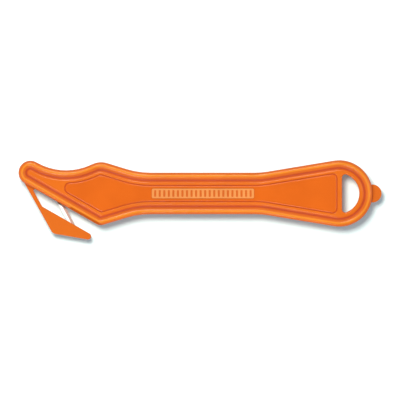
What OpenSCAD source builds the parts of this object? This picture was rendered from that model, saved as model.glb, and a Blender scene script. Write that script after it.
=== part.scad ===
// Fixed-blade safety cutter: two rimmed handle shells on a flat spine plate that carries
// a guarded hook, a moulded-in steel blade and a tape-splitting tab.
// X runs from the nose (-X) to the tail (+X), Y across the handle, Z through its thickness.

/* [Overall] */
// Length from the nose to the tip of the tail tab
overall_l = 177.8; // [148:0.1:214]
// Thickness over the two rims
overall_t = 8; // [6.6:0.1:9.6]
// Thickness of the spine plate, and so of the hook and the tab
plate_t = 2.4; // [2:0.1:2.9]

/* [Handle outline] */
// Width of the straight grip
grip_w = 20.4; // [17:0.1:24.5]
// From the nose to the corners of the finger bumps
head_l = 39.8; // [38:0.1:48]
// From the finger bumps to the straight grip
shoulder_l = 18.9; // [15:0.1:23]
// From the straight grip to the middle of the tail ring
taper_l = 38.2; // [31:0.1:46]
// Height of the upper bump above the grip's centre line
bump_rise = 16; // [13.5:0.1:19]
// Depth of the lower bump below the grip's centre line
bump_drop = 15.9; // [13.3:0.1:19]
// Rounding of the upper bump
bump_rise_r = 10; // [8:0.1:12]
// Rounding of the lower bump
bump_drop_r = 4.5; // [3.6:0.1:5.4]
// Rounding where the bumps meet the straight grip
shoulder_r = 39; // [32:0.5:47]
// Radius of the flat left inside the ledge's edge at the nose
nose_flat_r = 0.65; // [0.55:0.05:1]
// Height of the nose's centre above the grip's centre line
nose_rise = 10.2; // [8.5:0.1:12.2]
// From the nose to the low point of the waist behind it
waist_l = 22; // [19:0.1:26]
// Height of the waist's corner above the grip's centre line
waist_rise = 8.1; // [6.8:0.1:9.7]
// Rounding of the waist
waist_r = 28.5; // [23:0.5:30]

/* [Tail] */
// Diameter of the tail ring
tail_d = 32.6; // [27:0.1:39.2]
// Radius of the round side of the hanging hole
hole_r = 9.8; // [8.2:0.1:11.8]
// From the ring's centre to the hole's straight side
hole_flat = 1.4; // [1.1:0.1:1.7]
// Rounding of the hole's two corners
hole_corner_r = 1.5; // [1.2:0.1:1.8]
// Radius of the tape-splitting tab
tab_r = 4.4; // [3.6:0.1:5.3]

/* [Rim and panel] */
// Width of the rounded rim
rim_w = 3.4; // [3.2:0.1:3.9]
// Flat land on the rim's crest
rim_land = 0.3; // [0.2:0.1:0.5]
// Angle on the rim's round where its straight inner flank starts
flank_a = 50; // [46:1:54]
// Depth of the groove below the rim's crest
groove_depth = 0.95; // [0.85:0.05:1.05]
// Rounding of the groove's bottom
groove_r = 0.8; // [0.7:0.05:0.9]
// Steepest angle of the slope from the groove up to the ledge
slope_a = 40; // [38:1:44]
// Height of the ledge above the groove's bottom
ledge_rise = 0.5; // [0.45:0.05:0.6]
// Width of the ledge between the groove's slope and the sunk grip panel
ledge_w = 0.8; // [0.7:0.05:0.95]
// Depth of the grip panel below the ledge
panel_depth = 0.3; // [0.2:0.05:0.4]
// From the nose to the panel's front end
panel_start = 22.5; // [19:0.1:27]
// Ledge left between the panel and the hanging hole
panel_gap = 2.3; // [1.9:0.1:2.8]
// Rounding of the panel's end corners
panel_corner_r = 2.5; // [2.1:0.1:3]

/* [Hook] */
// Angle of the strap below the centre line
strap_angle = 60.8; // [57:0.1:64]
// Width of the strap that joins the hook to the nose
strap_w = 2; // [1.7:0.1:2.4]
// From the nose to the hook's heel
heel_x = 16.7; // [15:0.1:18]
// Depth of the hook's heel below the grip's centre line
heel_drop = 19.6; // [18:0.1:22]
// Rounding of the heel
heel_r = 3; // [2.4:0.1:3.6]
// From the nose to the hook's tip
hook_reach = 35.6; // [30:0.1:38]
// Angle of the hook's lower edge
sole_angle = 9.9; // [8:0.1:12]
// Width of the throat, square to the handle's edge
throat_w = 5.7; // [4.8:0.1:6.8]
// Fillet in the window's two narrow corners
window_r = 0.7; // [0.5:0.1:0.9]

/* [Blade] */
// Angle of the blade below the centre line
blade_angle = 62; // [58:0.5:66]
// Whole width of the blade, back to edge
blade_w = 2.4; // [2.2:0.1:3]
// Width of the ground bevel
bevel_w = 1.2; // [1:0.1:1.4]
// Thickness of the blade
blade_t = 0.5; // [0.4:0.05:0.6]
// Thickness left at the ground edge
edge_t = 0.04; // [0.03:0.01:0.06]
// Length of blade held in the handle and in the hook, past the throat's edges
blade_grip = 3.2; // [2.6:0.1:3.8]
// From the nose to where the cutting edge leaves the handle
blade_x = 22.7; // [21.5:0.1:25]
// Radius of the notches that lock the blade in the moulding
lock_r = 0.5; // [0.4:0.05:0.6]
// Clearance around the blade in the plate
blade_fit = 0.03; // [0.02:0.01:0.05]

/* [Throat land] */
// Width of the plate left bare beside the throat
land_w = 1.1; // [0.9:0.1:1.3]
// From the blade's edge to the step where the rim is cut back
land_gap = 2.4; // [2:0.1:2.9]

/* [Name plate] */
// Length of the blank name plate
name_l = 50.1; // [42:0.1:60]
// Width of the name plate
name_w = 4.85; // [4:0.05:5.8]
// Thickness of the name plate
name_t = 0.6; // [0.5:0.05:0.75]
// How far the name plate stands proud of the panel
name_proud = 0.15; // [0.1:0.05:0.2]
// Rounding of the name plate's corners
name_corner_r = 0.8; // [0.6:0.1:1]
// Distance from the middle of the grip to the middle of the name plate
name_x = 1.5; // [0:0.1:3]
// Clearance around the name plate in its pocket
name_fit = 0.1; // [0.05:0.05:0.15]

/* [Pegs] */
// Radius of the moulded pegs that register the shells
peg_r = 1.5; // [1.2:0.1:1.8]
// Clearance around a peg
peg_fit = 0.08; // [0.05:0.01:0.12]
// Wall left under the pegs' sockets in the rear shell
socket_floor = 0.55; // [0.4:0.05:0.65]
// Space below a peg's end
socket_end_gap = 0.15; // [0.1:0.05:0.2]
// From the finger bumps to the first peg
peg_start = 0; // [-2:0.5:4]
// From the last peg to the middle of the tail ring
peg_end = 12; // [10:0.5:14]
// Number of pegs
peg_count = 4; // [3:1:6]

/* [Hidden] */

// Largest turn between two points of an arc: in plan, round the rim's section and in the groove
arc_step = 6;
rim_step = 18;
groove_step = 15;
// Points round each corner of the hanging hole
corner_steps = 12;
// How far the rim ring laps under the slab inside it
ledge_lap = 0.2;
// Smallest radius left on a corner that an inset has used up
spent_r = nose_flat_r - ledge_lap;
// Rounding of the hook's corners that lie inside the handle
buried_r = 0.2;
// Overlap that makes a cut pass through a face
eps = 0.5;
$fn = 64;

mid_z = overall_t / 2;
front_z = mid_z + plate_t / 2;
rear_z = mid_z - plate_t / 2;
rim_h = rear_z;
rim_r = (rim_w - rim_land) / 2;
// walls above the plate
groove_wall = rim_h - groove_depth;
ledge_wall = groove_wall + ledge_rise;
panel_wall = ledge_wall - panel_depth;
socket_depth = panel_wall - socket_floor;

// section of the groove: [inset from the outline, height above the plate]
flank_top = [rim_w - rim_r, rim_h - rim_r] + rim_r * [cos(flank_a), sin(flank_a)];
flank_end = groove_wall + groove_r * (1 - sin(flank_a));
groove_centre = [
    flank_top[0] + (flank_top[1] - flank_end) * tan(flank_a) + groove_r * cos(flank_a),
    groove_wall + groove_r
];
slope_top = groove_centre + groove_r * [sin(slope_a), -cos(slope_a)];
ledge_r = (ledge_wall - slope_top[1]) / (1 - cos(slope_a));
ledge_in = slope_top[0] + ledge_r * sin(slope_a);
panel_in = ledge_in + ledge_w;

nose_r = ledge_in + nose_flat_r;
nose_end = -overall_l / 2;
nose_x = nose_end + nose_r;
bump_x = nose_end + head_l;
grip_x0 = bump_x + shoulder_l;
tail_x = overall_l / 2 - tab_r - tail_d / 2;
grip_x1 = tail_x - taper_l;
half_grip = grip_w / 2;
panel_x0 = nose_end + panel_start;
panel_x1 = tail_x + hole_flat - panel_gap;

// ---- outlines: a closed list of corners [x, y, rounding, joined], counter-clockwise ----
// joined is true on a corner whose arc starts just where the last corner's arc ends

function flat(p) = [p[0], p[1]];
function towards(a, b) = (flat(b) - flat(a)) / norm(flat(b) - flat(a));
function heading(c, i) = towards(c[i], c[(i + 1) % len(c)]);
function arriving(c, i) = heading(c, (i + len(c) - 1) % len(c));
function left(v) = [-v[1], v[0]];
function along(a) = [cos(a), sin(a)];
function turned(v, a) = [v[0] * cos(a) - v[1] * sin(a), v[0] * sin(a) + v[1] * cos(a)];
function turn_of(u, v) = atan2(u[0] * v[1] - u[1] * v[0], u * v);

// where the line through p at angle a meets the line through q at angle b
function crossing(p, a, q, b) =
    let (n = left(along(b)))
    flat(p) + along(a) * ((flat(q) - flat(p)) * n) / (along(a) * n);

// angle of the line from p that touches a circle, with the circle on side 1 (left) or -1 (right)
function touch_angle(p, centre, r, side) =
    let (v = flat(centre) - flat(p))
    atan2(v[1], v[0]) - side * asin(r / norm(v));

// the same outline moved inwards by d, with its rounds still concentric
function inset(c, d) = [
    for (i = [0:len(c) - 1])
        let (
            u = left(arriving(c, i)),
            v = left(heading(c, i)),
            p = flat(c[i]) + d * (u + v) / (1 + u * v),
            convex = turn_of(u, v) > 0
        )
        [p[0], p[1], convex ? max(c[i][2] - d, spent_r) : c[i][2] + d, c[i][3]]
];

// the outline's points, each corner drawn as an arc
function rounded(c) = [
    for (i = [0:len(c) - 1])
        let (
            u = arriving(c, i),
            a = turn_of(u, heading(c, i)),
            r = c[i][2],
            start = flat(c[i]) - u * r * tan(abs(a) / 2),
            centre = start + sign(a) * r * left(u),
            steps = max(2, ceil(abs(a) / arc_step))
        )
        for (k = [c[i][3] ? 1 : 0:steps])
            centre + turned(start - centre, a * k / steps)
];

function lifted(points, z) = [for (p = points) [p[0], p[1], z]];

// ---- the handle's outline ----

nose_centre = [nose_x, nose_rise];
waist = [nose_end + waist_l, waist_rise];
bump_top = [bump_x, bump_rise];
bump_low = [bump_x, -bump_drop];
ring_centre = [tail_x, 0];

upper_nose_a = touch_angle(waist, nose_centre, nose_r, 1);
lower_nose_a = touch_angle(bump_low, nose_centre, nose_r, -1);
nose_a = (upper_nose_a + lower_nose_a) / 2;
nose_front = nose_centre + nose_r * along(nose_a);
nose_upper = crossing(waist, upper_nose_a, nose_front, nose_a + 90);
nose_lower = crossing(bump_low, lower_nose_a, nose_front, nose_a + 90);
taper_a = touch_angle([grip_x1, half_grip], ring_centre, tail_d / 2, -1);
ring_upper = crossing([grip_x1, half_grip], taper_a, [tail_x + tail_d / 2, 0], 90);

HANDLE = [
    [nose_lower[0], nose_lower[1], nose_r, true],
    [bump_low[0], bump_low[1], bump_drop_r],
    [grip_x0, -half_grip, shoulder_r],
    [grip_x1, -half_grip, shoulder_r],
    [ring_upper[0], -ring_upper[1], tail_d / 2],
    [ring_upper[0], ring_upper[1], tail_d / 2, true],
    [grip_x1, half_grip, shoulder_r],
    [grip_x0, half_grip, shoulder_r],
    [bump_top[0], bump_top[1], bump_rise_r],
    [waist[0], waist[1], waist_r],
    [nose_upper[0], nose_upper[1], nose_r]
];

// ---- the hook's outline ----

// the handle's lower edge beside the throat runs at this angle
edge_a = lower_nose_a - 180;
heel = [nose_end + heel_x, -heel_drop];
strap_root = crossing(heel, -strap_angle, [0, nose_rise - nose_r / 2], 0);
hook_tip_x = nose_end + hook_reach;
throat_line = bump_low - throat_w * left(along(edge_a));
inner_strap = heel + strap_w * left(along(-strap_angle));
window_corner = crossing(inner_strap, -strap_angle, throat_line, edge_a);
window_top = crossing(inner_strap, -strap_angle, bump_low, edge_a);
tip_low = crossing(heel, -sole_angle, [hook_tip_x, 0], 90);
tip_high = crossing(throat_line, edge_a, [hook_tip_x, 0], 90);
// the tip is one full round between the sole and the throat
tip_r = norm(tip_high - tip_low) / (tan((90 + sole_angle) / 2) + tan((90 + edge_a) / 2));
// the strap's root runs on inside the handle, past the fillet in the window's narrow corner
root_end = window_top + 3 * strap_w * along(edge_a);
root_top = root_end + strap_w * left(along(edge_a));

HOOK = [
    [strap_root[0], strap_root[1], buried_r],
    [heel[0], heel[1], heel_r],
    [tip_low[0], tip_low[1], tip_r],
    [tip_high[0], tip_high[1], tip_r, true],
    [window_corner[0], window_corner[1], window_r],
    [window_top[0], window_top[1], window_r],
    [root_end[0], root_end[1], buried_r],
    [root_top[0], root_top[1], buried_r]
];

// height that sets the outline's middle on y = 0
tip_centre_y = crossing(
    heel + tip_r * left(along(-sole_angle)), -sole_angle, [hook_tip_x - tip_r, 0], 90
)[1];
y_mid = (tail_d / 2 + tip_centre_y - tip_r) / 2;

module plan() {
    translate([0, -y_mid, 0]) children();
}

// ---- hanging hole ----

// round on the tail's side and straight on the grip's side
module hanging_hole() {
    cx = hole_flat + hole_corner_r;
    cy = sqrt(pow(hole_r - hole_corner_r, 2) - cx * cx);
    a = atan2(cy, cx);
    steps = ceil(2 * a / arc_step);
    polygon([
        for (k = [0:steps]) hole_r * along(-a + 2 * a * k / steps),
        for (k = [1:corner_steps])
            [cx, cy] + hole_corner_r * along(a + (180 - a) * k / corner_steps),
        for (k = [0:corner_steps - 1])
            [cx, -cy] + hole_corner_r * along(180 + (180 - a) * k / corner_steps)
    ]);
}

module hole_cut(z0, z1) {
    translate([tail_x, 0, z0])
        linear_extrude(height = z1 - z0) hanging_hole();
}

// ---- handle shells ----

// points of an arc in the rim's section; the first is left out where the last arc ends on it
function section_arc(centre, r, a0, a1, step, first = 0) =
    let (steps = ceil(abs(a1 - a0) / step))
    [for (k = [first:steps]) centre + r * along(a0 + (a1 - a0) * k / steps)];

// round the section of the rim, the groove and the ledge's edge
RIM = [
    [0, 0],
    each section_arc([rim_r, rim_h - rim_r], rim_r, 180, 90, rim_step),
    each section_arc([rim_w - rim_r, rim_h - rim_r], rim_r, 90, flank_a, rim_step),
    each section_arc(groove_centre, groove_r, 180 + flank_a, 270 + slope_a, groove_step),
    each section_arc([ledge_in, ledge_wall - ledge_r], ledge_r, 90 + slope_a, 90, groove_step, 1),
    [ledge_in + ledge_lap, ledge_wall - ledge_lap],
    [ledge_in + ledge_lap, 0]
];

// closed ring: the section carried round the handle's outline
module rim_ring() {
    loops = [for (p = RIM) lifted(rounded(inset(HANDLE, p[0])), p[1])];
    n = len(loops[0]);
    m = len(loops);
    polyhedron(
        points = [for (loop = loops) each loop],
        faces = [
            for (j = [0:m - 1], k = [0:n - 1])
                let (j1 = (j + 1) % m, k1 = (k + 1) % n)
                [j * n + k, j1 * n + k, j1 * n + k1, j * n + k1]
        ]
    );
}

// sunk panel: the handle's outline, cut off square at both ends
module panel_outline() {
    offset(r = panel_corner_r) offset(delta = -panel_corner_r) intersection() {
        polygon(rounded(inset(HANDLE, panel_in)));
        translate([panel_x0, -bump_drop]) square([panel_x1 - panel_x0, bump_rise + bump_drop]);
    }
}

// part of the rim cut back beside the throat, so that the plate shows as a narrow land
module land_cut() {
    far = norm(bump_low - nose_lower);
    land_l = (head_l - blade_x - land_gap) / cos(edge_a);
    translate([bump_low[0], bump_low[1], -eps])
        rotate([0, 0, edge_a])
            translate([-land_l, -far, 0])
                cube([land_l + far, far + land_w, rim_h + 2 * eps]);
}

module shell_blank() {
    difference() {
        union() {
            rim_ring();
            linear_extrude(height = ledge_wall) polygon(rounded(inset(HANDLE, ledge_in)));
        }
        hole_cut(-eps, rim_h + eps);
        translate([0, 0, ledge_wall - panel_depth])
            linear_extrude(height = rim_h) panel_outline();
        land_cut();
    }
}

function peg_xs() = [
    for (k = [0:peg_count - 1])
        let (x0 = bump_x + peg_start, x1 = tail_x - peg_end)
        x0 + (x1 - x0) * k / (peg_count - 1)
];

module name_outline(grow) {
    l = name_l / 2 + grow;
    w = name_w / 2 + grow;
    r = name_corner_r + grow;
    x = (grip_x0 + grip_x1) / 2 + name_x;
    polygon(rounded([[x - l, -w, r], [x + l, -w, r], [x + l, w, r], [x - l, w, r]]));
}

// underside of the name plate
name_z = front_z + panel_wall + name_proud - name_t;

module front_handle_shell() {
    color("darkorange") plan() {
        difference() {
            translate([0, 0, front_z]) shell_blank();
            translate([0, 0, name_z])
                linear_extrude(height = rim_h) name_outline(name_fit);
        }
        for (x = peg_xs())
            translate([x, 0, rear_z - socket_depth + socket_end_gap])
                cylinder(r = peg_r, h = plate_t + socket_depth - socket_end_gap);
    }
}

module rear_handle_shell() {
    color("darkorange") plan() {
        difference() {
            translate([0, 0, rear_z]) mirror([0, 0, 1]) shell_blank();
            for (x = peg_xs())
                translate([x, 0, rear_z - socket_depth])
                    cylinder(r = peg_r + peg_fit, h = socket_depth + eps);
        }
    }
}

// ---- blade ----

// where the cutting edge leaves the handle
blade_root = crossing([nose_end + blade_x, 0], 90, bump_low, edge_a);
// length of the cutting edge across the throat
bare_l = throat_w / sin(blade_angle + edge_a);
// the blade's back leaves the handle this much further up than its edge
blade_skew = blade_w / tan(blade_angle + edge_a);
blade_l = blade_skew + bare_l + 2 * blade_grip;
blade_top = -blade_skew - blade_grip;

module along_blade() {
    translate([blade_root[0], blade_root[1], mid_z])
        rotate([0, 0, -blade_angle])
            children();
}

module lock_notches(r, h) {
    for (x = [blade_top + blade_grip / 2, bare_l + blade_grip / 2])
        translate([x, -blade_w, -h / 2]) cylinder(r = r, h = h);
}

module cutting_blade() {
    color("silver") plan() along_blade() difference() {
        translate([blade_top, 0, 0]) rotate([90, 0, 90]) linear_extrude(height = blade_l) polygon([
            [-blade_w, -blade_t / 2],
            [-bevel_w, -blade_t / 2],
            [0, -edge_t / 2],
            [0, edge_t / 2],
            [-bevel_w, blade_t / 2],
            [-blade_w, blade_t / 2]
        ]);
        lock_notches(lock_r, 2 * blade_t);
    }
}

module blade_slot() {
    along_blade() difference() {
        translate([blade_top - blade_fit, -blade_w - blade_fit, -blade_t / 2 - blade_fit])
            cube([blade_l + 2 * blade_fit, blade_w + 2 * blade_fit, blade_t + 2 * blade_fit]);
        lock_notches(lock_r - blade_fit, blade_t + 4 * blade_fit);
    }
}

// ---- spine plate ----

module spine_plate() {
    color("orange") plan() difference() {
        translate([0, 0, rear_z]) linear_extrude(height = plate_t) difference() {
            union() {
                polygon(rounded(HANDLE));
                polygon(rounded(HOOK));
                translate([tail_x + tail_d / 2, 0]) circle(r = tab_r);
            }
            translate([tail_x, 0]) hanging_hole();
        }
        for (x = peg_xs())
            translate([x, 0, 0]) cylinder(r = peg_r + peg_fit, h = overall_t);
        blade_slot();
    }
}

// ---- name plate ----

module name_plate() {
    color("lightsalmon") plan()
        translate([0, 0, name_z])
            linear_extrude(height = name_t) name_outline(0);
}

front_handle_shell();
rear_handle_shell();
spine_plate();
cutting_blade();
name_plate();
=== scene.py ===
import math

import bmesh
import bpy
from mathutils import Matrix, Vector


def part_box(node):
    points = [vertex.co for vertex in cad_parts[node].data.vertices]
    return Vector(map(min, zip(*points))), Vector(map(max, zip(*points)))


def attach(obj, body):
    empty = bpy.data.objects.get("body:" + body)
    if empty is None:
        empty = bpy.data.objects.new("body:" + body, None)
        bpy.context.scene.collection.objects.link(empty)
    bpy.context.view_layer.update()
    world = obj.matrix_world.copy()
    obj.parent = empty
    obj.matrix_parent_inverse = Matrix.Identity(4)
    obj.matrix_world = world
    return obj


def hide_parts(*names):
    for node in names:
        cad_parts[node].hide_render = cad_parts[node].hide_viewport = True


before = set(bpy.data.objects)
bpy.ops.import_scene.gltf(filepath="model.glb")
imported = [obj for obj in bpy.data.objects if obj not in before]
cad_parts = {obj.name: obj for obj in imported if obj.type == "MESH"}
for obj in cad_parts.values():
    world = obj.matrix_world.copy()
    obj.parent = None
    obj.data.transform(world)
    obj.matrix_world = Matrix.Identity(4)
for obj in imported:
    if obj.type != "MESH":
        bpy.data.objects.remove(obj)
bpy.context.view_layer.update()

MM = 0.001

# ---- places from the frame ----

plate_low, plate_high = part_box("spine_plate")
shell_low, shell_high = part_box("front_handle_shell")
name_low, name_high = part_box("name_plate")

# height of the plate's two faces, where each shell starts
SHELL_FOOT = {1: plate_high.z, -1: plate_low.z}
# centre and radius of the ring round the hanging hole
RING_R = 16.3 * MM
RING = Vector((shell_high.x - RING_R, plate_high.y - RING_R, 0))
# the hole lies past the first of these and within the second, from the ring's centre
HOLE_START = 1.2 * MM
HOLE_REACH = 10.1 * MM
# heights above the plate: the ledge inside the groove, and the sunk grip panel
LEDGE_H = 2.35 * MM
PANEL_H = 2.05 * MM
# the pegs' holes are in a row between these, and reach this far to each side of it
PEG_ROW = (-60 * MM, RING.x - 8 * MM)
PEG_REACH = 2 * MM
# anything closer than this counts as the same height
SAME = 0.02 * MM
# points closer than this are one point, and faces that turn less than this are one face
MERGE = 0.002 * MM
FLAT = math.radians(0.6)
# a face whose normal rises more than this is level
LEVEL = 0.999


# ---- working on a mesh by hand ----

def hold(piece):
    """Leaves only this piece selected and active."""
    bpy.ops.object.select_all(action="DESELECT")
    bpy.context.view_layer.objects.active = piece
    piece.select_set(True)


def open_mesh(piece, element):
    """Edit mode with nothing selected, ready to pick faces or edges."""
    hold(piece)
    bpy.ops.object.mode_set(mode="EDIT")
    bpy.ops.mesh.select_mode(type=element)
    bpy.ops.mesh.select_all(action="DESELECT")


def close_mesh():
    bpy.ops.object.mode_set(mode="OBJECT")


def pick(piece, layer, wanted):
    """Selects only the faces or edges for which wanted says yes."""
    bpy.ops.mesh.select_all(action="DESELECT")
    mesh = bmesh.from_edit_mesh(piece.data)
    mesh.normal_update()
    chosen = [element for element in getattr(mesh, layer) if wanted(element)]
    for element in chosen:
        element.select_set(True)
    bmesh.update_edit_mesh(piece.data)


def sharp(edge, angle=30):
    """An outer edge that turns more than this angle."""
    return (
        len(edge.link_faces) == 2
        and edge.is_convex
        and edge.calc_face_angle(0) > math.radians(angle)
    )


def merged_copy(cad_name, name):
    """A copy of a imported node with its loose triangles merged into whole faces."""
    piece = bpy.data.objects.new(name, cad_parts[cad_name].data.copy())
    piece.data.materials.clear()
    bpy.context.scene.collection.objects.link(piece)
    open_mesh(piece, "FACE")
    bpy.ops.mesh.select_all(action="SELECT")
    bpy.ops.mesh.remove_doubles(threshold=MERGE)
    bpy.ops.mesh.dissolve_limited(angle_limit=FLAT)
    close_mesh()
    return piece


def round_edges(radius, segments=3):
    """Rounds the selected edges."""
    bpy.ops.mesh.bevel(
        offset=radius, segments=segments, profile=0.5, affect="EDGES",
        clamp_overlap=True, loop_slide=False,
    )


def polish_normals(piece, angle=35):
    """Smooth shading that keeps the flat faces flat and the roundings round."""
    hold(piece)
    bpy.ops.object.shade_smooth_by_angle(angle=math.radians(angle), keep_sharp_edges=False)
    bpy.ops.object.modifier_add(type="WEIGHTED_NORMAL")
    weighted = piece.modifiers[-1]
    weighted.keep_sharp = True
    # strong enough to keep the big flats flat
    weighted.weight = 80
    bpy.ops.object.modifier_apply(modifier=weighted.name)


def stand_for(piece, slot, *nodes):
    """Puts a finished piece in its nodes' place on the handle."""
    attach(piece, "root")
    if nodes:
        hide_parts(*nodes)


# ---- handle shells ----

# the crease round the grip panel, and how far the panel stands up again inside it
CREASE_W = 0.3 * MM
CREASE_DEPTH = 0.18 * MM
PANEL_LIFT = 0.05 * MM
# roundings of the shells' edges
PANEL_ROUND = 0.3 * MM
LEDGE_ROUND = 0.27 * MM
HOLE_ROUND = 0.6 * MM
STEP_ROUND = 0.2 * MM
PARTING_ROUND = 0.12 * MM
# the name plate's pocket lies above this height, and this far round the plate
POCKET_FOOT = 0.5 * MM
POCKET_SPARE = 0.3 * MM
# a wall that rises past this height above the plate has its foot softened
WALL_H = 1 * MM


def in_name_pocket(co):
    return (
        name_low.x - POCKET_SPARE < co.x < name_high.x + POCKET_SPARE
        and name_low.y - POCKET_SPARE < co.y < name_high.y + POCKET_SPARE
    )


def shell(cad_name, name, side):
    """A moulded handle shell: soft edges, and a scribed crease round the grip panel.
    side is 1 for the front and -1 for the rear."""
    foot = SHELL_FOOT[side]

    def height(co):
        return side * (co.z - foot)

    def at(edge, level):
        return all(abs(height(v.co) - level) < SAME for v in edge.verts)

    def round_the_hole(co):
        flat = Vector((co.x - RING.x, co.y - RING.y, 0))
        return flat.x > HOLE_START and flat.length < HOLE_REACH

    piece = merged_copy(cad_name, name)
    open_mesh(piece, "FACE")
    if side == 1:
        # the pocket is filled while the panel is worked, and cut again afterwards
        pick(piece, "faces", lambda f: all(in_name_pocket(v.co) for v in f.verts)
             and height(f.calc_center_median()) > POCKET_FOOT)
        bpy.ops.mesh.delete(type="FACE")
        bpy.ops.mesh.select_mode(type="EDGE")
        pick(piece, "edges", lambda e: e.is_boundary)
        bpy.ops.mesh.edge_face_add()
        bpy.ops.mesh.select_all(action="SELECT")
        bpy.ops.mesh.normals_make_consistent(inside=False)
        bpy.ops.mesh.dissolve_limited(angle_limit=FLAT)
        bpy.ops.mesh.select_mode(type="FACE")
    # crease: the panel's border goes down and comes up again
    pick(piece, "faces", lambda f: side * f.normal.z > LEVEL
         and all(abs(height(v.co) - PANEL_H) < SAME for v in f.verts))
    bpy.ops.mesh.inset(thickness=CREASE_W, depth=-CREASE_DEPTH, use_boundary=True)
    bpy.ops.mesh.inset(thickness=CREASE_W, depth=CREASE_DEPTH + PANEL_LIFT, use_boundary=True)
    bpy.ops.mesh.select_mode(type="EDGE")
    pick(piece, "edges", lambda e: sharp(e, angle=20) and at(e, PANEL_H + PANEL_LIFT))
    round_edges(PANEL_ROUND)
    pick(piece, "edges", lambda e: sharp(e) and at(e, LEDGE_H)
         and not all(round_the_hole(v.co) for v in e.verts))
    round_edges(LEDGE_ROUND)
    pick(piece, "edges", lambda e: at(e, LEDGE_H) and sharp(e)
         and all(round_the_hole(v.co) for v in e.verts))
    round_edges(HOLE_ROUND, segments=5)
    # the rim's cut-back beside the throat
    pick(piece, "edges", lambda e: sharp(e)
         and any(height(v.co) > LEDGE_H + SAME for v in e.verts))
    round_edges(STEP_ROUND)
    # parting line against the plate
    pick(piece, "edges", lambda e: sharp(e) and at(e, 0)
         and any(max(height(v.co) for v in f.verts) > WALL_H for f in e.link_faces))
    round_edges(PARTING_ROUND, segments=2)
    close_mesh()
    return piece


front = shell("front_handle_shell", "front_shell_moulding", 1)
rear = shell("rear_handle_shell", "rear_shell_moulding", -1)


def rounded_block(name, low, high, corner, top_round=0.0):
    """A box from low to high with its upright corners rounded, and a soft top edge."""
    bpy.ops.mesh.primitive_cube_add(size=1, location=(low + high) / 2)
    piece = bpy.context.object
    piece.name = name
    piece.scale = high - low
    bpy.ops.object.transform_apply(location=True, rotation=True, scale=True)
    open_mesh(piece, "EDGE")
    pick(piece, "edges", lambda e: abs(e.verts[0].co.z - e.verts[1].co.z) > SAME)
    round_edges(corner, segments=6)
    if top_round:
        pick(piece, "edges", lambda e: all(abs(v.co.z - high.z) < SAME for v in e.verts))
        round_edges(top_round, segments=2)
    close_mesh()
    return piece


NAME_FIT = 0.1 * MM
NAME_CORNER = 0.8 * MM
# the pocket's cut goes on this far above the name plate
CUT_THROUGH = 1 * MM

fit = Vector((NAME_FIT, NAME_FIT, 0))
pocket_tool = rounded_block(
    "pocket_tool", name_low - fit, name_high + fit + Vector((0, 0, CUT_THROUGH)),
    NAME_CORNER + NAME_FIT,
)
hold(front)
bpy.ops.object.modifier_add(type="BOOLEAN")
cut = front.modifiers[-1]
cut.operation = "DIFFERENCE"
cut.solver = "EXACT"
cut.object = pocket_tool
bpy.ops.object.modifier_apply(modifier=cut.name)
bpy.data.objects.remove(pocket_tool)
for piece, cad_name in ((front, "front_handle_shell"), (rear, "rear_handle_shell")):
    polish_normals(piece)
    stand_for(piece, "handle_plastic", cad_name)

# ---- spine plate with the hook, the strap and the tab ----

PLATE_ROUND = 0.22 * MM


def on_a_face(edge):
    return any(
        all(abs(v.co.z - level) < SAME for v in edge.verts)
        for level in (plate_low.z, plate_high.z)
    )


def at_a_peg(co):
    return abs(co.y - RING.y) < PEG_REACH and PEG_ROW[0] < co.x < PEG_ROW[1]


plate = merged_copy("spine_plate", "spine_plate_moulding")
open_mesh(plate, "EDGE")
pick(plate, "edges", lambda e: on_a_face(e) and sharp(e, angle=60)
     and not all(at_a_peg(v.co) for v in e.verts))
round_edges(PLATE_ROUND)
close_mesh()
polish_normals(plate)
stand_for(plate, "plate_plastic", "spine_plate")

# ---- name plate and its ribs ----

NAME_ROUND = 0.12 * MM

name_blank = merged_copy("name_plate", "name_plate_blank")
open_mesh(name_blank, "EDGE")
pick(name_blank, "edges", lambda e: all(abs(v.co.z - name_high.z) < SAME for v in e.verts))
round_edges(NAME_ROUND, segments=2)
close_mesh()
polish_normals(name_blank)
stand_for(name_blank, "name_plate_plastic", "name_plate")

RIB_COUNT = 22
RIB_W = 1.0 * MM
RIB_L = 3.3 * MM
RIB_PROUD = 0.1 * MM
RIB_CORNER = 0.35 * MM
RIB_ROUND = 0.07 * MM
# from the name plate's ends to the middle of the first and the last rib, both together
RIB_MARGINS = 3.4 * MM

name_mid = (name_low + name_high) / 2
rib_run = name_high.x - name_low.x - RIB_MARGINS
first = Vector((name_mid.x - rib_run / 2, name_mid.y, 0))
rib = rounded_block(
    "name_plate_ribs",
    first + Vector((-RIB_W / 2, -RIB_L / 2, name_high.z - RIB_PROUD)),
    first + Vector((RIB_W / 2, RIB_L / 2, name_high.z + RIB_PROUD)),
    RIB_CORNER, RIB_ROUND,
)
hold(rib)
bpy.ops.object.modifier_add(type="ARRAY")
row = rib.modifiers[-1]
row.count = RIB_COUNT
row.use_relative_offset = False
row.use_constant_offset = True
row.constant_offset_displace = (rib_run / (RIB_COUNT - 1), 0, 0)
bpy.ops.object.modifier_apply(modifier=row.name)
polish_normals(rib)
stand_for(rib, "handle_plastic")

# ---- materials ----


def linear(hex_colour):
    """An sRGB colour such as #ff8800 as linear red, green, blue and alpha."""
    parts = [int(hex_colour[i:i + 2], 16) / 255 for i in (1, 3, 5)]
    return [p / 12.92 if p <= 0.04045 else ((p + 0.055) / 1.055) ** 2.4 for p in parts] + [1]


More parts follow.
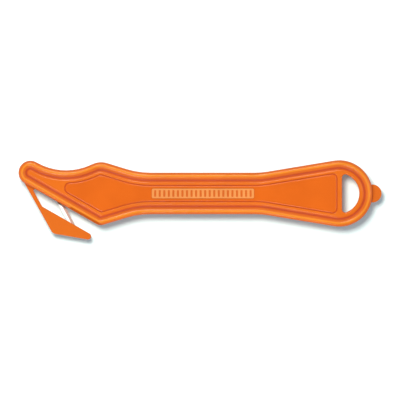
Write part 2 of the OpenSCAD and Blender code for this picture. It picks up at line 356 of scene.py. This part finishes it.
def node(tree, kind, settings=None, stops=(), **inputs):
    """Adds a shader node. inputs are values, or (node, output) pairs to link, and stops are
    a colour ramp's (place, hex colour) pairs."""
    made = tree.nodes.new(kind)
    for key, value in (settings or {}).items():
        setattr(made, key, value)
    for key, value in inputs.items():
        socket = made.inputs[int(key[1:]) if key[0] == "_" else key.replace("_", " ")]
        if isinstance(value, tuple) and hasattr(value[0], "outputs"):
            tree.links.new(value[0].outputs[value[1]], socket)
        else:
            socket.default_value = value
    if stops:
        elements = made.color_ramp.elements
        while len(elements) < len(stops):
            elements.new(0.5)
        for element, (place, colour) in zip(elements, stops):
            element.position = place
            element.color = linear(colour)
    return made


def new_material(name):
    material = bpy.data.materials.new(name)
    material.use_nodes = True
    material.node_tree.nodes.clear()
    return material, material.node_tree


MID_Z = (plate_low.z + plate_high.z) / 2
# the plastic's colour, with the shade and highlights painted on it by height, changes between
# these, measured from the middle of the thickness
SIDE_H = 2.6 * MM
CREST_H = 4.0 * MM
# the groove is dull at the first of these and glossy at the second; SIDE_H is 0, CREST_H is 1
GROOVE_LEVELS = (0.32, 0.45)
ABS_IOR = 1.54
# a sheen weaker than polished plastic's, as the grain breaks it up
ABS_SPECULAR = 0.22
# size of the slow drifts of tone, as the melt leaves them
DRIFT_SIZE = 18.2 * MM
# height of the grain
GRAIN_RELIEF = 0.03 * MM
# how much smoother and rougher than the whole the grain's parts are
SMOOTHER = 0.05
ROUGHER = 0.07


def moulded_plastic(name, stops, roughness, grain_size, bump, groove_dull=0.0):
    """Injection-moulded ABS, with slow drifts of tone and a spark-eroded grain. stops colour it
    by height, from its sides (0) to its crests (1), so that they can paint shade and highlights
    on its relief, and groove_dull makes the grooves rougher.
    The real grain is about 0.05 mm, and is drawn coarser so that it shows."""
    material, tree = new_material(name)
    place = node(tree, "ShaderNodeTexCoord")
    drift = node(tree, "ShaderNodeTexNoise", Vector=(place, "Object"),
                 Scale=1 / DRIFT_SIZE, Detail=3.0)
    parts = node(tree, "ShaderNodeSeparateXYZ", Vector=(place, "Object"))
    above = node(tree, "ShaderNodeMath", {"operation": "SUBTRACT"}, _0=(parts, "Z"), _1=MID_Z)
    height = node(tree, "ShaderNodeMath", {"operation": "ABSOLUTE"}, _0=(above, "Value"))
    level = node(tree, "ShaderNodeMapRange", Value=(height, "Value"),
                 From_Min=SIDE_H, From_Max=CREST_H)
    # colour by height; on the shells its stops hold painted shade in the groove and painted
    # highlights on the ledge and crests
    tint_and_painted_relief_light = node(tree, "ShaderNodeValToRGB", stops=stops, Fac=(level, "Result"))
    tone = node(tree, "ShaderNodeValToRGB", stops=((0.3, "#f3efe9"), (0.7, "#ffffff")),
                Fac=(drift, "Fac"))
    colour = node(tree, "ShaderNodeMix", {"data_type": "RGBA", "blend_type": "MULTIPLY"},
                  _0=1.0, _6=(tint_and_painted_relief_light, "Color"), _7=(tone, "Color"))
    grain = node(tree, "ShaderNodeTexNoise", Vector=(place, "Object"),
                 Scale=1 / grain_size, Detail=2.0)
    relief = node(tree, "ShaderNodeBump", Strength=bump, Distance=GRAIN_RELIEF,
                  Height=(grain, "Fac"))
    gloss = node(tree, "ShaderNodeMapRange", Value=(grain, "Fac"),
                 To_Min=roughness - SMOOTHER, To_Max=roughness + ROUGHER)
    dull = node(tree, "ShaderNodeMapRange", Value=(level, "Result"),
                From_Min=GROOVE_LEVELS[0], From_Max=GROOVE_LEVELS[1],
                To_Min=groove_dull, To_Max=0.0)
    rough = node(tree, "ShaderNodeMath", _0=(gloss, "Result"), _1=(dull, "Result"))
    surface = node(tree, "ShaderNodeBsdfPrincipled", Base_Color=(colour, 2),
                   Roughness=(rough, "Value"), IOR=ABS_IOR, Specular_IOR_Level=ABS_SPECULAR,
                   Normal=(relief, "Normal"))
    node(tree, "ShaderNodeOutputMaterial", Surface=(surface, 0))
    return material


# ABS of the two shells, the glossiest. The real moulding is one orange; these stops paint its
# relief's light and shade by height: painted shade makes the groove a darker red, painted
# highlights make the ledge warmer and the crests amber, and the sides are a redder orange
shell_plastic = moulded_plastic("orange_abs_satin_gloss", (
    (0.0, "#d24c08"), (0.24, "#d04a08"), (0.34, "#b03c02"), (0.49, "#d16014"),
    (0.6, "#d16014"), (0.67, "#d66918"), (0.94, "#d46614"), (1.0, "#e08626"),
), roughness=0.18, grain_size=0.5 * MM, bump=0.15, groove_dull=0.25)
# satin ABS of the flat plate: one even orange, broken up by the drift of tone
plate_plastic = moulded_plastic("orange_abs_satin", ((0.0, "#d06618"), (1.0, "#d06618")),
                                roughness=0.22, grain_size=0.4 * MM, bump=0.12)
# the ribs are darker than the name plate that they stand on
rib_plastic = moulded_plastic("orange_abs_rib", ((0.0, "#c65c14"), (1.0, "#c85f18")),
                              roughness=0.3, grain_size=0.4 * MM, bump=0.15)
# frosted ABS of the name plate: pale salmon, and dull beside the panel round it
name_plastic = moulded_plastic("salmon_abs_frosted", ((0.0, "#db8a44"), (1.0, "#dd8c46")),
                               roughness=0.45, grain_size=0.3 * MM, bump=0.3)

for piece, plastic in (
    (front, shell_plastic), (rear, shell_plastic), (plate, plate_plastic),
    (rib, rib_plastic), (name_blank, name_plastic),
):
    piece.data.materials.clear()
    piece.data.materials.append(plastic)


# the blade leans this much from the handle's length, and the throat's edge this much
BLADE_LEAN = math.radians(62)
THROAT_LEAN = math.radians(28.4)
BEVEL_W = 1.2 * MM
# half the width over which the flat turns into the bevel
BEVEL_SOFT = 0.05 * MM
# the blade's flat gets a painted shade where it goes under the handle's rim; it starts this far
# short of the throat's edge, and is full from here on
RIM_SHADE_START = 0.8 * MM
RIM_SHADE_FULL = 0.45 * MM
# width and length of a grinding line; the real ones are finer, and wouldn't show
LINE_W = 0.25 * MM
LINE_L = 3 * MM
# from the nose to where the cutting edge comes out of the handle
EDGE_START = 22.7 * MM


def leaning(angle):
    """Direction square to a line that falls towards the tail at this angle."""
    return Vector((math.sin(angle), math.cos(angle), 0))


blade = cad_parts["cutting_blade"]
blade_edge = max(v.co.dot(leaning(BLADE_LEAN)) for v in blade.data.vertices)
root_x = shell_low.x + EDGE_START
root = Vector((root_x, (blade_edge - root_x * math.sin(BLADE_LEAN)) / math.cos(BLADE_LEAN), 0))
throat_edge = root.dot(leaning(THROAT_LEAN))


def ground_steel():
    """Razor steel: a bright flat, a ground bevel with a painted reflection of the orange
    plastic, grinding lines square to the edge, and painted shade where it goes under the
    handle's rim."""
    material, tree = new_material("ground_razor_steel")
    place = node(tree, "ShaderNodeTexCoord")
    across = node(tree, "ShaderNodeMapping", Vector=(place, "Object"),
                  Rotation=(0, 0, BLADE_LEAN))
    stretch = node(tree, "ShaderNodeMapping", Vector=(across, "Vector"),
                   Scale=(1 / LINE_W, 1 / LINE_L, 1 / LINE_L))
    lines = node(tree, "ShaderNodeTexNoise", Vector=(stretch, "Vector"), Scale=1.0, Detail=2.0)
    flat = node(tree, "ShaderNodeValToRGB", stops=((0.3, "#ecebe8"), (0.7, "#ffffff")),
                Fac=(lines, "Fac"))
    # painted reflection: the bevel's pink stands for the orange plastic mirrored in it; the
    # grinding lines' variation is real
    ground = node(tree, "ShaderNodeValToRGB", stops=((0.3, "#a88a80"), (0.7, "#bc9e94")),
                  Fac=(lines, "Fac"))
    side = node(tree, "ShaderNodeSeparateXYZ", Vector=(across, "Vector"))
    bevel = node(tree, "ShaderNodeMapRange", Value=(side, "Y"),
                 From_Min=blade_edge - BEVEL_W - BEVEL_SOFT,
                 From_Max=blade_edge - BEVEL_W + BEVEL_SOFT)
    steel = node(tree, "ShaderNodeMix", {"data_type": "RGBA"},
                 _0=(bevel, "Result"), _6=(flat, "Color"), _7=(ground, "Color"))
    down = node(tree, "ShaderNodeMapping", Vector=(place, "Object"),
                Rotation=(0, 0, THROAT_LEAN))
    depth = node(tree, "ShaderNodeSeparateXYZ", Vector=(down, "Vector"))
    rim_shade_reach = node(tree, "ShaderNodeMapRange", Value=(depth, "Y"),
                From_Min=throat_edge - RIM_SHADE_START, From_Max=throat_edge - RIM_SHADE_FULL)
    rim_shade_off_bevel = node(tree, "ShaderNodeMath", {"operation": "SUBTRACT"},
                _0=(rim_shade_reach, "Result"), _1=(bevel, "Result"))
    painted_rim_shade = node(tree, "ShaderNodeMath", {"operation": "MAXIMUM"}, _0=(rim_shade_off_bevel, "Value"), _1=0.0)
    # painted shade: the blade's flat turns dark brown under the handle's rim, where it lies in
    # shade
    colour = node(tree, "ShaderNodeMix", {"data_type": "RGBA"},
                  _0=(painted_rim_shade, "Value"), _6=(steel, 2), _7=linear("#453512"))
    gloss = node(tree, "ShaderNodeMapRange", Value=(lines, "Fac"), To_Min=0.42, To_Max=0.55)
    surface = node(tree, "ShaderNodeBsdfPrincipled", Base_Color=(colour, 2),
                   Metallic=1.0, Roughness=(gloss, "Result"))
    node(tree, "ShaderNodeOutputMaterial", Surface=(surface, 0))
    return material


blade.data.materials.clear()
blade.data.materials.append(ground_steel())

# ---- floor, light and camera ----

# metres, so that its far edge is out of every view
FLOOR_SIZE = 40

bpy.ops.mesh.primitive_plane_add(size=FLOOR_SIZE, location=(0, 0, 0))
floor = bpy.context.object
floor.name = "studio_floor"
# matt paper, with a faint cool glow that keeps the shadow on it grey beside the orange
paper, paper_tree = new_material("white_sweep_paper")
sheet = node(paper_tree, "ShaderNodeBsdfPrincipled", Base_Color=linear("#d4e4e4"),
             Roughness=0.9, Specular_IOR_Level=0.1,
             Emission_Color=linear("#c8f0f4"), Emission_Strength=0.15)
node(paper_tree, "ShaderNodeOutputMaterial", Surface=(sheet, 0))
floor.data.materials.append(paper)

world = bpy.data.worlds.new("pale_studio")
bpy.context.scene.world = world
world.use_nodes = True
sky = world.node_tree
sky.nodes.clear()
place = node(sky, "ShaderNodeTexCoord")
parts = node(sky, "ShaderNodeSeparateXYZ", Vector=(place, "Generated"))
# pale walls under a darker ceiling, so that flat faces don't mirror a bright one
walls = node(sky, "ShaderNodeValToRGB", Fac=(parts, "Z"),
             stops=((0.0, "#bcc3d2"), (0.35, "#d2d9e8"), (1.0, "#60656f")))
glow = node(sky, "ShaderNodeBackground", Color=(walls, "Color"), Strength=1.0)
node(sky, "ShaderNodeOutputWorld", Surface=(glow, 0))


def softbox(name, azimuth, elevation, size, level, colour, lit):
    """A square area light a metre from the middle of the handle, for the lit objects only.
    level is the light that it lays on flat white paper."""
    a, e = math.radians(azimuth), math.radians(elevation)
    towards = Vector((math.sin(a) * math.cos(e), math.cos(a) * math.cos(e), math.sin(e)))
    bpy.ops.object.light_add(type="AREA", location=towards)
    lamp = bpy.context.object
    lamp.name = name
    lamp.rotation_euler = towards.to_track_quat("Z", "Y").to_euler()
    lamp.data.size = size
    lamp.data.energy = level * math.pi ** 2 / math.sin(e)
    lamp.data.color = linear(colour)[:3]
    lamp.visible_camera = False
    lamp.light_linking.receiver_collection = lit


on_floor = bpy.data.collections.new("lit_floor")
on_floor.objects.link(floor)
on_cutter = bpy.data.collections.new("lit_cutter")
for piece in (front, rear, plate, name_blank, rib, blade):
    on_cutter.objects.link(piece)

# one big light for the floor casts the soft shadow, on the hook's side of the handle
softbox("sweep_softbox", -29, 64, 0.42, 1.35, "#fff8ee", on_floor)
# the cutter has its own: a small one for the line along each crest, and four that fill round it
softbox("crest_softbox", -8, 69, 0.22, 0.31, "#fff4e2", on_cutter)
softbox("upper_softbox", -25, 52, 0.5, 0.16, "#fff4e2", on_cutter)
softbox("lower_softbox", 200, 52, 0.4, 0.37, "#ffffff", on_cutter)
softbox("left_softbox", -100, 55, 0.4, 0.08, "#ffffff", on_cutter)
softbox("right_softbox", 80, 55, 0.4, 0.17, "#ffffff", on_cutter)

# a very long lens straight above the handle
LENS = 1000
SENSOR = 36
# width of what the camera sees at the plate's height
FRAME_W = 195.88 * MM
# place above the middle of the footprint
CAMERA_X = -0.02 * MM
CAMERA_Y = -0.06 * MM
view_distance = FRAME_W * LENS / SENSOR
bpy.ops.object.camera_add(location=(CAMERA_X, CAMERA_Y, view_distance + plate_high.z),
                          rotation=(0, 0, 0))
camera = bpy.context.object
camera.data.lens = LENS
camera.data.sensor_width = SENSOR
camera.data.clip_start = 0.1
camera.data.clip_end = 100
bpy.context.scene.camera = camera
bpy.context.scene.view_settings.view_transform = "Standard"
